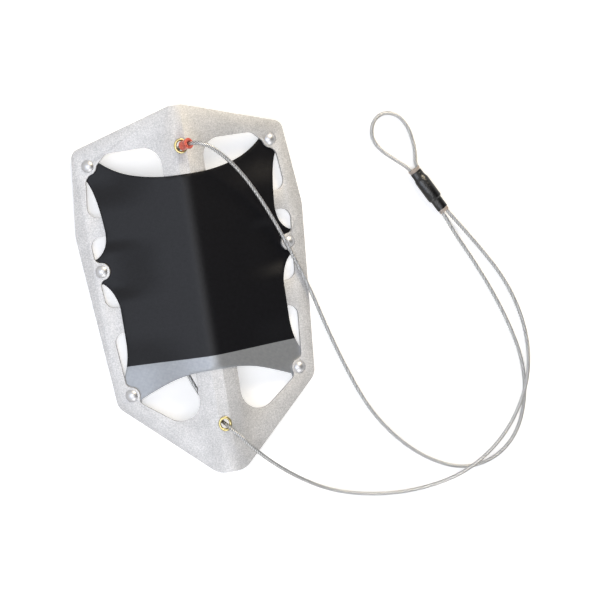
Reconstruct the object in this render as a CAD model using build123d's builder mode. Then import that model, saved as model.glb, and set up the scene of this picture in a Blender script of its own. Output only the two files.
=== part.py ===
# Snow fluke anchor: a folded, windowed aluminium plate with a riveted fabric
# panel, and a steel wire rope bridle that ends in a swaged eye.
#
# The part lies on the ground on the long side edges of its two wings, fold up.
# X runs across the wings, +Y toward the top of the plate and Z up. The origin is
# on the ground under the middle of the plate. Lengths are in millimetres.
#
# Places on a wing are given as (out, down): out from the fold line along the
# wing, and down from the top of the fold line toward the tip.

import os
from math import atan2, cos, degrees, hypot, pi, radians, sin, tan

from build123d import *

os.makedirs("parts", exist_ok=True)

# Plate outline, on one wing
fold_fall = radians(18.0)
plate_thickness = 2.0
fold_inner_radius = 16.0
plate_length = 293.5
shoulder_half_width = 89.2
shoulder_down = 23.6
widest_half_width = 97.0
widest_down = 91.0
base_half_width = 85.0
base_down = 231.0
sharp_tip_down = 297.7
shoulder_radius = 8.0
widest_radius = 40.0
base_radius = 12.0
tip_radius = 15.5

# Windows, on one wing
spine_half_width = 17.6
rim_width = 10.8
toe_rim_width = 16.3
upper_window_down = 28.9
upper_brace_down = 77.6
upper_brace_width = 15.6
lower_brace_down = 150.7
lower_brace_width = 20.8
window_radius = 8.0
window_head_radius = 15.0
window_toe_radius = 16.5
head_cut_width = 19.1
head_cut_length = 18.1
toe_corner_margin = 6.0

# Rivets: inside the side edge, and below the upper window's top, above the middle of
# the middle window, and above the base corner
rivet_insets = {"upper": 13.0, "middle": 14.0, "lower": 13.1}
upper_rivet_drop = 7.6
middle_rivet_rise = 1.4
lower_rivet_rise = 8.4
lobe_radius = 6.9
lobe_root_radius = 5.0
rivet_head_diameter = 10.0
rivet_head_height = 2.6
rivet_shank_diameter = 4.8
rivet_tail_diameter = 7.0
rivet_tail_height = 1.2
rivet_tail_chamfer = 0.4
washer_diameter = 12.0
washer_thickness = 0.8
rivet_clearance = 0.1
stack_clearance = 0.05

# Fabric panel
cloth_thickness = 1.0
cloth_lift = 0.2
cloth_tab_radius = 10.4
cloth_top_down = 54.0
cloth_bottom_down = 210.5
cloth_top_sag = 5.0
cloth_bottom_sag = 6.8
cloth_sag_out = 42.0
cloth_waist_downs = (90.0, 151.0, 182.0)
cloth_waist_gaps = (14.4, 11.5, 8.9)
cloth_slope_length = 17.0
cloth_brace_margin = 1.7
# From the rivets: where the slope has ended, and the lengths above and below under the rim
cloth_slope_gaps = {"upper": 13.7, "middle": 10.4, "lower": 15.6}
cloth_under_lengths = {"upper": (12.5, 11.4), "middle": (11.4, 11.4), "lower": (16.6, 14.6)}
# Places on the edge of the panel from the rivet beside them, as (out, down)
cloth_edge_steps = {
    "top_end": ("upper", -10.6, -1.1),
    "upper_start": ("upper", 2.7, 10.8),
    "upper_bow": ("upper", -2.9, 27.5),
    "middle_bow_above": ("middle", -6.1, -18.0),
    "middle_start": ("middle", 1.8, -10.1),
    "middle_end": ("middle", -0.2, 10.2),
    "middle_bow_below": ("middle", -7.1, 18.5),
    "lower_bow": ("lower", -1.2, -26.6),
    "lower_start": ("lower", 3.2, -15.0),
    "bottom_end": ("lower", -8.3, 4.2),
}

# Eyelets on the fold line
eyelet_downs = {"upper": 31.9, "lower": 254.4}
eyelet_flange = (10.8, 12.0)
eyelet_bore = (6.4, 7.6)
eyelet_wall = 0.5
eyelet_flange_thickness = 1.0
eyelet_lip_width = 1.4
eyelet_lip_thickness = 0.7
eyelet_fit = 0.1

# Wire rope and the red stop sleeve swaged on it
rope_diameter = 3.2
rope_fit = 0.1
stop_diameter = 7.7
stop_flare_diameter = 8.7
stop_flare_length = 1.6
stop_length = 8.9
stop_tilt = radians(37.0)
stop_heading = radians(12.0)
stop_seat_gap = 0.3
stop_offset = (0.7, -0.3)
stop_edge_radius = 0.5

# Swaged eye: two rope strands side by side in a ferrule, a clear tube and a shrink tube
joint_centre = (197.8, 50.0)
joint_heading = radians(118.4)
strand_offset = 1.7
ferrule_wall = 1.5
ferrule_thickness = 6.4
ferrule_length = 19.0
ferrule_shift = 1.5
ferrule_edge_radius = 0.8
clear_tube_wall = 0.4
clear_tube_length = 43.5
tube_belly = (10.2, 7.3)
tube_neck_at_legs = (7.8, 4.3)
tube_neck_at_eye = (8.3, 4.4)
tube_mouth = (12.0, 5.6)
shrink_tube_wall = 0.45
shrink_tube_length = 37.5
tube_taper_length = 3.0
joint_strand_length = 12.0
joint_exit = 21.5

# Ends and heights of the rope's route
arc_share = 0.45
leg_rise = 12.0
stop_lead = 16.0
stop_tail = 3.4
bore_tail = 9.5
crossing_gap = 0.2

# Frame of the folded plate: the sharp top of the fold line falls a little toward
# the tip, because both wings lie on the ground along their straight side edges.
edge_fall = widest_half_width * sin(fold_fall) - base_half_width * sin(fold_fall)
ridge_slope = atan2(edge_fall, base_down - widest_down)
widest_drop = widest_half_width * sin(fold_fall) + plate_thickness * cos(fold_fall)
ridge_height = widest_drop * cos(ridge_slope) + widest_down * sin(ridge_slope)
ridge_start = plate_length / 2 * cos(ridge_slope)

across = Vector(1, 0, 0)
up_spine = Vector(0, cos(ridge_slope), sin(ridge_slope))
off_spine = Vector(0, -sin(ridge_slope), cos(ridge_slope))
ridge_top = Vector(0, ridge_start, ridge_height)
symmetry_plane = Plane.YZ

fold_outer_radius = fold_inner_radius + plate_thickness
fold_centre = -fold_outer_radius / cos(fold_fall)
flat_start = fold_outer_radius * tan(fold_fall)
crest = fold_centre + fold_outer_radius


def outward(side):
    """Direction out along a wing: side is 1 for the right wing and -1 for the left."""
    return across * (side * cos(fold_fall)) - off_spine * sin(fold_fall)


def normal(side):
    """Direction out of a wing's upper face."""
    return across * (side * sin(fold_fall)) + off_spine * cos(fold_fall)


def on_wing(side, out, down, lift=0.0):
    return ridge_top + outward(side) * out - up_spine * down + normal(side) * lift


def on_ridge(down, lift=0.0):
    return ridge_top - up_spine * down + off_spine * lift


right_wing = Plane(origin=ridge_top, x_dir=outward(1), z_dir=normal(1))
ridge_face = Plane(origin=ridge_top, x_dir=across, z_dir=off_spine)


def ridge_section(down):
    """Plane across the fold line, x across and y out of the ridge."""
    return Plane(origin=on_ridge(down), x_dir=across, z_dir=-up_spine)


def wing_section(down):
    """Plane across the right wing, x out along it and y out of its upper face."""
    return Plane(origin=on_ridge(down), x_dir=outward(1), z_dir=-up_spine)


def axial_section(centre, axis):
    """Plane through an axis, x away from the axis and y along it."""
    side = axis.cross(Vector(0, 1, 0)).normalized()
    return Plane(origin=centre, x_dir=side, z_dir=side.cross(axis))


def fold_band(low, high, reach):
    """Face of a band that follows the fold, between two heights off the plate's upper face."""

    def place(out, height, side):
        x = side * (out * cos(fold_fall) + height * sin(fold_fall))
        return (x, -out * sin(fold_fall) + height * cos(fold_fall))

    with BuildSketch() as band:
        with BuildLine():
            for height in (high, low):
                top = (0, crest + height)
                ThreePointArc(place(flat_start, height, -1), top, place(flat_start, height, 1))
            for side in (-1, 1):
                side_points = [(reach, high), (reach, low)]
                if reach > flat_start:
                    side_points = [(flat_start, high), *side_points, (flat_start, low)]
                Polyline(*[place(out, height, side) for out, height in side_points])
        make_face()
    return band.sketch


def side_edge(down):
    """Distance of the plate's side edge from the fold line."""
    if down < widest_down:
        share = (down - shoulder_down) / (widest_down - shoulder_down)
        return shoulder_half_width + share * (widest_half_width - shoulder_half_width)
    share = (down - widest_down) / (base_down - widest_down)
    return widest_half_width + share * (base_half_width - widest_half_width)


def rim(down):
    """Outer side of the windows, one rim width inside the side edge."""
    return side_edge(down) - rim_width


def corner_at(place, radius=0.0):
    """Selects the corners of a flat wing shape at a radius from an (out, down) place."""

    def chosen(corner):
        return abs(hypot(corner.X - place[0], corner.Y + place[1]) - radius) < 0.05

    return chosen


# Plate windows and rivets, from the top to the tip
toe_slope = (sharp_tip_down - base_down) / base_half_width
toe_rim_down = toe_rim_width * hypot(1, toe_slope)
toe_start = base_half_width - rim_width - toe_corner_margin
head_cut_down = upper_window_down + head_cut_length
middle_window_down = upper_brace_down + upper_brace_width
lower_window_down = lower_brace_down + lower_brace_width

rivet_downs = {
    "upper": upper_window_down + upper_rivet_drop,
    "middle": (middle_window_down + lower_brace_down) / 2 - middle_rivet_rise,
    "lower": base_down - lower_rivet_rise,
}
rivet_places = {}
for place_name, rivet_down in rivet_downs.items():
    rivet_places[place_name] = (side_edge(rivet_down) - rivet_insets[place_name], rivet_down)


def toe_line(out):
    """Lower side of the lowest window, one toe rim inside the plate's lower edge."""
    return sharp_tip_down - toe_slope * out - toe_rim_down


windows = {
    "upper": [
        (spine_half_width, upper_window_down, window_head_radius),
        (rim(head_cut_down) - head_cut_width, upper_window_down, window_radius),
        (rim(head_cut_down), head_cut_down, window_radius),
        (rim(upper_brace_down), upper_brace_down, window_radius),
        (spine_half_width, upper_brace_down, window_radius),
    ],
    "middle": [
        (spine_half_width, middle_window_down, window_radius),
        (rim(middle_window_down), middle_window_down, window_radius),
        (rim(lower_brace_down), lower_brace_down, window_radius),
        (spine_half_width, lower_brace_down, window_radius),
    ],
    "lower": [
        (spine_half_width, lower_window_down, window_radius),
        (rim(lower_window_down), lower_window_down, window_radius),
        (rim(toe_line(toe_start)), toe_line(toe_start), window_radius),
        (spine_half_width, toe_line(spine_half_width), window_toe_radius),
    ],
}


def rounded_polygon(corners):
    """Flat wing shape through (out, down, corner radius) places."""
    with BuildSketch() as shape:
        with BuildLine():
            Polyline(*[(out, -down) for out, down, radius in corners], close=True)
        make_face()
        for out, down, radius in corners:
            if radius:
                fillet(shape.vertices().filter_by(corner_at((out, down))), radius)
    return shape.sketch


def window_shape(name):
    """Opening in the wing, with the lobe that carries the rivet left standing in it."""
    rivet_out, rivet_down = rivet_places[name]
    with BuildSketch() as window:
        add(rounded_polygon(windows[name]))
        with Locations((rivet_out, -rivet_down)):
            Circle(lobe_radius, mode=Mode.SUBTRACT)
        roots = window.vertices().filter_by(corner_at(rivet_places[name], lobe_radius))
        fillet(roots, lobe_root_radius)
    return window.sketch


# Eyelets are squeezed oval by the fold: narrower across it than along it
eyelet_reach = max(eyelet_flange)


def eyelet_oval(opening, growth):
    """Oval that stands a wall or a rim wider than an opening."""
    with BuildSketch() as oval:
        Ellipse(opening[0] / 2 + growth, opening[1] / 2 + growth)
    return oval.sketch


# Folded plate
tip_turn = atan2(toe_slope, 1)
tip_tangent = (
    flat_start + tip_radius * sin(tip_turn),
    plate_length - tip_radius * (1 - cos(tip_turn)),
)
with BuildSketch() as wing_face:
    add(
        rounded_polygon(
            [
                (flat_start, 0, 0),
                (shoulder_half_width, shoulder_down, shoulder_radius),
                (widest_half_width, widest_down, widest_radius),
                (base_half_width, base_down, base_radius),
                (*tip_tangent, 0),
                (flat_start, plate_length, 0),
            ]
        )
    )
    with BuildLine():
        tip_start = (flat_start, -plate_length)
        tip_end = (tip_tangent[0], -tip_tangent[1])
        TangentArc(tip_start, tip_end, tangent=(1, 0))
        Line(tip_end, tip_start)
    make_face()
    for window_name in windows:
        add(window_shape(window_name), mode=Mode.SUBTRACT)
    for rivet_out, rivet_down in rivet_places.values():
        with Locations((rivet_out, -rivet_down)):
            Circle(rivet_shank_diameter / 2 + rivet_clearance, mode=Mode.SUBTRACT)

with BuildPart() as fluke_plate:
    with BuildSketch(right_wing):
        add(wing_face.sketch)
    extrude(amount=-plate_thickness)
    mirror(about=symmetry_plane)
    with BuildSketch(ridge_section(0)):
        add(fold_band(-plate_thickness, 0, flat_start))
    extrude(amount=plate_length)
    with BuildSketch(ridge_face):
        for eyelet_down in eyelet_downs.values():
            with Locations((0, -eyelet_down)):
                add(eyelet_oval(eyelet_bore, eyelet_wall + eyelet_fit))
    extrude(amount=eyelet_reach, both=True, mode=Mode.SUBTRACT)
fluke_plate.part.label = "fluke_plate"
export_step(fluke_plate.part, "parts/fluke_plate.step")


# Fabric panel: over the ridge and the braces, under the rims at the rivets
def flat(out, down):
    return (out, -down)


def beside(step_name):
    """Flat place on the edge of the panel beside a rivet."""
    place_name, out, down = cloth_edge_steps[step_name]
    rivet_out, rivet_down = rivet_places[place_name]
    return flat(rivet_out + out, rivet_down + down)


def waist(number):
    """Flat place on the side edge of the panel, where it is drawn in between two rivets."""
    down = cloth_waist_downs[number]
    return flat(rim(down) - cloth_waist_gaps[number], down)


with BuildSketch() as cloth_outline:
    with BuildLine():
        top_start = flat(flat_start, cloth_top_down)
        top_mid = flat(cloth_sag_out, cloth_top_down - cloth_top_sag)
        top_end = beside("top_end")
        top_arc = TangentArc(top_start, top_mid, tangent=(1, 0))
        TangentArc(top_mid, top_end, tangent=top_arc % 1)
        bottom_start = flat(flat_start, cloth_bottom_down)
        bottom_mid = flat(cloth_sag_out, cloth_bottom_down + cloth_bottom_sag)
        bottom_end = beside("bottom_end")
        bottom_arc = TangentArc(bottom_start, bottom_mid, tangent=(1, 0))
        TangentArc(bottom_mid, bottom_end, tangent=bottom_arc % 1)
        Line(bottom_start, top_start)
        side_arcs = (
            (beside("upper_start"), beside("upper_bow"), waist(0)),
            (waist(0), beside("middle_bow_above"), beside("middle_start")),
            (beside("middle_end"), beside("middle_bow_below"), waist(1)),
            (waist(2), beside("lower_bow"), beside("lower_start")),
        )
        for side_arc in side_arcs:
            ThreePointArc(*side_arc)
        Line(waist(1), waist(2))
        Polyline(top_end, flat(*rivet_places["upper"]), side_arcs[0][0])
        Polyline(side_arcs[1][-1], flat(*rivet_places["middle"]), side_arcs[2][0])
        Polyline(side_arcs[3][-1], flat(*rivet_places["lower"]), bottom_end)
    make_face()
    for rivet_place in rivet_places.values():
        with Locations(flat(*rivet_place)):
            Circle(cloth_tab_radius)
            Circle(rivet_shank_diameter / 2 + rivet_clearance, mode=Mode.SUBTRACT)

# Stations along the panel: it lies on the braces and goes under the rims at the rivets
def under_rim(place_name):
    """The two stations between which the panel lies behind the rim at a rivet."""
    length_above, length_below = cloth_under_lengths[place_name]
    rivet_down = rivet_downs[place_name]
    return [
        (place_name, rivet_down - length_above, cloth_under),
        (place_name, rivet_down + length_below, cloth_under),
    ]


cloth_on_brace = cloth_lift / 2
cloth_under = -plate_thickness - stack_clearance - cloth_thickness
cloth_stations = [
    *under_rim("upper"),
    ("upper", upper_brace_down - cloth_brace_margin, cloth_on_brace),
    ("middle", middle_window_down + cloth_brace_margin, cloth_on_brace),
    *under_rim("middle"),
    ("middle", lower_brace_down - cloth_brace_margin, cloth_on_brace),
    ("lower", lower_window_down + cloth_brace_margin, cloth_on_brace),
    *under_rim("lower"),
]
cloth_reach = widest_half_width
with BuildPart() as fabric_panel:
    for place_name, down, low in cloth_stations:
        slope_end = rivet_places[place_name][0] - cloth_slope_gaps[place_name]
        with BuildSketch(wing_section(down)):
            with BuildLine():
                upper_side = [
                    (flat_start, cloth_lift),
                    (slope_end - cloth_slope_length, cloth_lift),
                    (slope_end, low),
                    (cloth_reach, low),
                ]
                lower_side = [(out, height + cloth_thickness) for out, height in upper_side]
                Polyline(*upper_side, *reversed(lower_side), close=True)
            make_face()
    loft(ruled=True)
    with BuildSketch(right_wing):
        add(cloth_outline.sketch)
    extrude(amount=4 * plate_thickness, both=True, mode=Mode.INTERSECT)
    mirror(about=symmetry_plane)
    with BuildSketch(ridge_section(cloth_top_down)):
        add(fold_band(cloth_lift, cloth_lift + cloth_thickness, flat_start))
    extrude(amount=cloth_bottom_down - cloth_top_down)
fabric_panel.part.label = "fabric_panel"
export_step(fabric_panel.part, "parts/fabric_panel.step")

# Rivets and their washers, three on each wing
washer_top = cloth_under - stack_clearance
tail_top = washer_top - washer_thickness - stack_clearance
for side, side_name in ((-1, "left"), (1, "right")):
    for place_name, (rivet_out, rivet_down) in rivet_places.items():
        seat = on_wing(side, rivet_out, rivet_down)
        rivet_axis = Axis(seat, normal(side))
        half_section = Plane(origin=seat, x_dir=outward(side), z_dir=outward(side).cross(normal(side)))
        with BuildPart() as rivet:
            with BuildSketch(half_section):
                with BuildLine():
                    head_radius = rivet_head_diameter / 2
                    shank_radius = rivet_shank_diameter / 2
                    tail_radius = rivet_tail_diameter / 2
                    dome = (head_radius**2 + rivet_head_height**2) / (2 * rivet_head_height)
                    dome_turn = degrees(atan2(head_radius, dome - rivet_head_height))
                    JernArc((0, rivet_head_height), (1, 0), dome, -dome_turn)
                    Polyline(
                        (head_radius, 0),
                        (shank_radius, 0),
                        (shank_radius, tail_top),
                        (tail_radius, tail_top),
                        (tail_radius - rivet_tail_chamfer, tail_top - rivet_tail_height),
                        (0, tail_top - rivet_tail_height),
                        (0, rivet_head_height),
                    )
                make_face()
            revolve(axis=rivet_axis)
        rivet_name = f"rivet_{place_name}_{side_name}"
        rivet.part.label = rivet_name
        export_step(rivet.part, f"parts/{rivet_name}.step")

        with BuildPart() as washer:
            with BuildSketch(Plane(origin=seat + normal(side) * washer_top, z_dir=normal(side))):
                Circle(washer_diameter / 2)
                Circle(rivet_shank_diameter / 2 + rivet_clearance, mode=Mode.SUBTRACT)
            extrude(amount=-washer_thickness)
        washer_name = f"washer_{place_name}_{side_name}"
        washer.part.label = washer_name
        export_step(washer.part, f"parts/{washer_name}.step")

# Eyelets: a barrel with a flange that follows the fold, and a lip rolled over behind
for place_name, eyelet_down in eyelet_downs.items():
    section_start = ridge_section(eyelet_down - eyelet_reach)
    eyelet_seat = Plane(origin=on_ridge(eyelet_down, crest), x_dir=across, z_dir=off_spine)
    lip_foot = -plate_thickness - stack_clearance - eyelet_lip_thickness
    flange_face = stack_clearance + eyelet_flange_thickness
    with BuildPart() as eyelet:
        for low, high, rim_shape in (
            (stack_clearance, flange_face, eyelet_oval(eyelet_flange, 0)),
            (lip_foot, lip_foot + eyelet_lip_thickness, eyelet_oval(eyelet_bore, eyelet_lip_width)),
        ):
            with BuildPart(mode=Mode.PRIVATE) as rim_ring:
                with BuildSketch(section_start):
                    add(fold_band(low, high, eyelet_reach))
                extrude(amount=2 * eyelet_reach)
                with BuildSketch(eyelet_seat):
                    add(rim_shape)
                extrude(amount=eyelet_reach, both=True, mode=Mode.INTERSECT)
            add(rim_ring.part)
        for barrel_end in (flange_face, lip_foot):
            with BuildSketch(eyelet_seat):
                add(eyelet_oval(eyelet_bore, eyelet_wall))
            extrude(amount=barrel_end)
        with BuildSketch(eyelet_seat):
            add(eyelet_oval(eyelet_bore, 0))
        extrude(amount=eyelet_reach, both=True, mode=Mode.SUBTRACT)
    eyelet_name = f"{place_name}_eyelet"
    eyelet.part.label = eyelet_name
    export_step(eyelet.part, f"parts/{eyelet_name}.step")

# Stop sleeve: tilted on the mouth of the upper eyelet, its foot just clear of the flange
stop_axis = Vector(sin(stop_tilt) * cos(stop_heading), sin(stop_tilt) * sin(stop_heading), cos(stop_tilt))
flange_top = crest + stack_clearance + eyelet_flange_thickness
stop_foot_height = flange_top + stop_diameter / 2 * sin(stop_tilt) + stop_seat_gap
stop_foot = on_ridge(eyelet_downs["upper"], stop_foot_height) + Vector(*stop_offset, 0)
with BuildPart() as stop_sleeve:
    with BuildSketch(axial_section(stop_foot, stop_axis)):
        with BuildLine():
            Polyline(
                (rope_diameter / 2 + rope_fit, 0),
                (stop_diameter / 2 - stop_edge_radius, 0),
                (stop_diameter / 2, stop_edge_radius),
                (stop_diameter / 2, stop_length - 2 * stop_flare_length),
                (stop_flare_diameter / 2, stop_length - stop_flare_length / 2),
                (stop_flare_diameter / 2, stop_length),
                (rope_diameter / 2 + rope_fit, stop_length),
                close=True,
            )
        make_face()
    revolve(axis=Axis(stop_foot, stop_axis))
stop_sleeve.part.label = "stop_sleeve"
export_step(stop_sleeve.part, "parts/stop_sleeve.step")

# Wire rope: each stretch is straight runs joined by tangent arcs
lying = rope_diameter / 2
crossing = lying + 2 * rope_diameter + crossing_gap
joint_height = tube_belly[1] / 2 + clear_tube_wall + shrink_tube_wall
joint_axis = Vector(cos(joint_heading), sin(joint_heading), 0)
joint_across = Vector(sin(joint_heading), -cos(joint_heading), 0)
joint_middle = Vector(*joint_centre, joint_height)


def in_joint(along, offset=0.0):
    """Place in the swaged joint: along its axis toward the eye, and across it."""
    return joint_middle + joint_axis * along + joint_across * offset


strand_end = joint_strand_length / 2
bore_centre = on_ridge(eyelet_downs["lower"], crest - plate_thickness / 2)
bore_lean = Vector(0.40, -0.42, 0.81).normalized()

rope_routes = {
    "upper_leg": [
        stop_foot,
        stop_foot + stop_axis * stop_lead,
        (23, 109.5, 51),
        (38, 94, 41),
        (51, 75, 29),
        (66, 45, 16.5),
        (78, 13, 8.8),
        (87.5, -14, 4.4),
        (97, -50, lying),
        (109, -89, lying),
        (122, -122, lying),
        (142, -150.5, lying),
        (166, -171.5, lying),
        (194, -183.5, lying),
        (222, -178.5, lying),
        (243, -160, lying),
        (254, -131, lying),
        (255.5, -101, lying),
        (249, -71, lying),
        (238, -39, lying),
        (224, -7.5, lying),
        (213.5, 12.5, 3.0),
        in_joint(-joint_exit, -strand_offset),
        in_joint(-strand_end, -strand_offset),
    ],
    "lower_leg": [
        bore_centre,
        bore_centre + bore_lean * leg_rise,
        (17, -128, 34),
        (32, -145, 24.5),
        (54, -164.5, 10.5),
        (78, -180, 2.4),
        (104, -188.5, lying),
        (133, -193, lying),
        (162, -192.3, lying),
        (187, -186, crossing),
        (211, -174.5, crossing),
        (233, -156, crossing),
        (249.5, -132, crossing),
        (258.5, -108, crossing),
        (262.5, -83, lying),
        (258.5, -56, lying),
        (248.5, -28.5, lying),
        (232.5, -1.5, lying),
        (220, 16.8, 3.0),
        in_joint(-joint_exit, strand_offset),
        in_joint(-strand_end, strand_offset),
    ],
    "rear_span": [
        stop_foot,
        stop_foot - stop_axis * stop_tail,
        stop_foot - Vector(1.8, 0.7, 9.3),
        (-5, 106, 17),
        (-14, 84, 11),
        (-24, 45, 8.5),
        (-29, -1, 8.5),
        (-28, -46, 11),
        (-18.5, -76.5, 14.5),
        (-10, -92.5, 17),
        bore_centre - bore_lean * bore_tail,
        bore_centre,
    ],
    "eye_loop": [
        in_joint(strand_end, -strand_offset),
        in_joint(joint_exit, -strand_offset),
        (171, 81, 3.2),
        (161.5, 90.5, lying),
        (157.3, 101.5, lying),
        (161, 113.5, lying),
        (170.5, 118.6, lying),
        (181.3, 115.2, lying),
        (188.3, 105.5, lying),
        (191.2, 93.5, lying),
        (191.5, 82, 3.2),
        in_joint(joint_exit, strand_offset),
        in_joint(strand_end, strand_offset),
    ],
}


def arc_radii(points):
    """Large arcs that fit: each takes its share of the shorter run beside its corner."""
    radii = []
    for before, corner, after in zip(points, points[1:], points[2:]):
        run_in = corner - before
        run_out = after - corner
        turn = radians(run_in.get_angle(run_out))
        radii.append(arc_share * min(run_in.length, run_out.length) / tan(turn / 2))
    return radii


for rope_name, route_points in rope_routes.items():
    points = [Vector(*point) for point in route_points]
    radii = arc_radii(points)
    with BuildPart() as rope:
        with BuildLine():
            route = FilletPolyline(*points, radius=radii)
        with BuildSketch(Plane(origin=route @ 0, z_dir=route % 0)):
            Circle(rope_diameter / 2)
        sweep(path=route)
    rope.part.label = rope_name
    export_step(rope.part, f"parts/{rope_name}.step")
    tube_volume = pi * rope_diameter**2 / 4 * route.length
    volume_share = rope.part.volume / tube_volume
    print(rope_name, "length", round(route.length, 1), "volume share", round(volume_share, 5))
    print("  radii", [round(radius, 1) for radius in radii])

# Straight strands inside the ferrule, as two separate solids
with BuildPart() as ferrule_strands:
    with BuildSketch(Plane(origin=in_joint(-strand_end), x_dir=joint_across, z_dir=joint_axis)):
        for offset in (-strand_offset, strand_offset):
            with Locations((offset, 0)):
                Circle(rope_diameter / 2)
    extrude(amount=joint_strand_length)
ferrule_strands.part.label = "ferrule_strands"
export_step(ferrule_strands.part, "parts/ferrule_strands.step")

# Swaged ferrule around both strands
ferrule_width = 2 * (strand_offset + rope_diameter / 2 + ferrule_wall)
ferrule_start = ferrule_shift - ferrule_length / 2
with BuildPart() as eye_ferrule:
    with BuildSketch(Plane(origin=in_joint(ferrule_start), x_dir=joint_across, z_dir=joint_axis)):
        SlotOverall(ferrule_width, ferrule_thickness)
    extrude(amount=ferrule_length)
    ferrule_ends = eye_ferrule.faces().filter_by(Axis(joint_middle, joint_axis)).edges()
    chamfer(ferrule_ends, ferrule_edge_radius)
    with BuildSketch(Plane(origin=in_joint(ferrule_start), x_dir=joint_across, z_dir=joint_axis)):
        for offset in (-strand_offset, strand_offset):
            with Locations((offset, 0)):
                Circle(rope_diameter / 2 + rope_fit / 2)
    extrude(amount=ferrule_length, mode=Mode.SUBTRACT)
eye_ferrule.part.label = "eye_ferrule"
export_step(eye_ferrule.part, "parts/eye_ferrule.step")

# Clear tube over the ferrule, with a mouth spread by the strands of the eye, and the
# black shrink tube over it, shorter at both ends. Both hug the pair of strands, so they
# are oval. Places are (along the joint, inner width and height).
ferrule_end = ferrule_start + ferrule_length
clear_half = clear_tube_length / 2
shrink_half = shrink_tube_length / 2
shrink_sections = [
    (-shrink_half, tube_neck_at_legs),
    (ferrule_start - tube_taper_length / 2, tube_neck_at_legs),
    (ferrule_start, tube_belly),
    (ferrule_end, tube_belly),
    (ferrule_end + tube_taper_length, tube_neck_at_eye),
    (shrink_half, tube_neck_at_eye),
]
clear_sections = [
    (-clear_half, tube_neck_at_legs),
    *shrink_sections[1:],
    (clear_half, tube_mouth),
]
for tube_name, sections, gap, wall in (
    ("clear_tube", clear_sections, 0, clear_tube_wall),
    ("shrink_tube", shrink_sections, clear_tube_wall, shrink_tube_wall),
):
    with BuildPart() as tube:
        for growth, mode in ((gap + wall, Mode.ADD), (gap, Mode.SUBTRACT)):
            for along, (width, height) in sections:
                with BuildSketch(Plane(origin=in_joint(along), x_dir=joint_across, z_dir=joint_axis)):
                    Ellipse(width / 2 + growth, height / 2 + growth)
            loft(ruled=True, mode=mode)
    tube.part.label = tube_name
    export_step(tube.part, f"parts/{tube_name}.step")
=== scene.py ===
# %% [markdown]
# # Snow fluke anchor
#
# The object is a snow anchor: a folded aluminium plate with large windows, a
# coated fabric panel riveted behind the plate's rims, and a steel wire rope
# bridle that ends in a swaged eye. The measured solids come in as a fixed frame
# in metres. Each step below dresses one piece of that frame, with a note on what
# the piece is on the real object and why it is made the way it is.

# %% Load the frame
from math import atan2, cos, hypot, pi, radians, sin, sqrt, tan

import bpy
from mathutils import Matrix, Vector
from mathutils.geometry import delaunay_2d_cdt


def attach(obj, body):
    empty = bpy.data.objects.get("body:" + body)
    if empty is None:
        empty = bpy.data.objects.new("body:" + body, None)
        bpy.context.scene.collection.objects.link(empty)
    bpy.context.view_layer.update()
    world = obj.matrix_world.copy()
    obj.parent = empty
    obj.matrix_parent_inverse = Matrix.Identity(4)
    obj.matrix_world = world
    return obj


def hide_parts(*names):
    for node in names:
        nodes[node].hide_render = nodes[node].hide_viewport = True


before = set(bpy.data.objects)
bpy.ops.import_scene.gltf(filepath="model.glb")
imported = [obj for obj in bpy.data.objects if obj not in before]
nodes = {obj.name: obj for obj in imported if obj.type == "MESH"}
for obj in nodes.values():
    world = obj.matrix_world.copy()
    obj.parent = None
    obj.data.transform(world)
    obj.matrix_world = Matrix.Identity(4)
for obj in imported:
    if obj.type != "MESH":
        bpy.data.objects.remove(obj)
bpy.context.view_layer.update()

mm = 0.001
print("pieces in the frame:", len(nodes))

# %% [markdown]
# ## The camera
#
# The photograph looks down on the anchor from almost straight above, turned a
# little, so that both wings show and the fold runs up the picture. The camera's
# place and its three directions were found from points that mirror each other
# across the fold. A lens of 92 mm on a 36 mm sensor gives the same slight
# perspective.

# %% Camera at the photograph's place
camera_place = Vector((-93.885, 60.090, 1241.073)) * mm
picture_right = Vector((0.976900, -0.156041, 0.146008))
picture_up = Vector((0.163765, 0.985588, -0.042393))
toward_camera = Vector((-0.137288, 0.065324, 0.988375))

camera_data = bpy.data.cameras.new("photo_camera")
camera_data.sensor_width = 36.0
camera_data.lens = 92.31
camera = bpy.data.objects.new("photo_camera", camera_data)
turn = Matrix((picture_right, picture_up, toward_camera)).transposed()
camera.matrix_world = Matrix.Translation(camera_place) @ turn.to_4x4()
bpy.context.collection.objects.link(camera)
bpy.context.scene.camera = camera
print("camera height in mm:", round(camera_place.z / mm))

# %% [markdown]
# ## Small helpers
#
# Three things are needed again and again. Colours are written as the hex values
# that a colour picker shows, and have to be made linear for the renderer. A
# material is a tree of nodes, so one function adds a node with its settings and
# its links. And an operator in Blender works on whatever is selected, so one
# function selects a single object and nothing else.

# %% Colour, node and selection helpers
def linear(hex_colour):
    """Linear colour of an sRGB hex value."""
    channels = [int(hex_colour[place:place + 2], 16) / 255 for place in (1, 3, 5)]
    made = [value / 12.92 if value <= 0.04045 else ((value + 0.055) / 1.055) ** 2.4 for value in channels]
    return (*made, 1.0)


def add_node(tree, kind, settings=None, **inputs):
    """Adds a node: settings are its own properties, inputs are values or sockets to link.

    An input is named by its name with underscores for spaces, or by its number, as in _0.
    """
    node = tree.nodes.new(kind)
    for name, value in (settings or {}).items():
        setattr(node, name, value)
    for name, value in inputs.items():
        key = int(name[1:]) if name[1:].isdigit() else name.replace("_", " ")
        socket = node.inputs[key]
        if isinstance(value, bpy.types.NodeSocket):
            tree.links.new(value, socket)
        else:
            socket.default_value = value
    return node


def pick(piece):
    """Selects one object alone and makes it the active one."""
    if bpy.context.object and bpy.context.object.mode != "OBJECT":
        bpy.ops.object.mode_set(mode="OBJECT")
    bpy.ops.object.select_all(action="DESELECT")
    piece.select_set(True)
    bpy.context.view_layer.objects.active = piece


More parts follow.
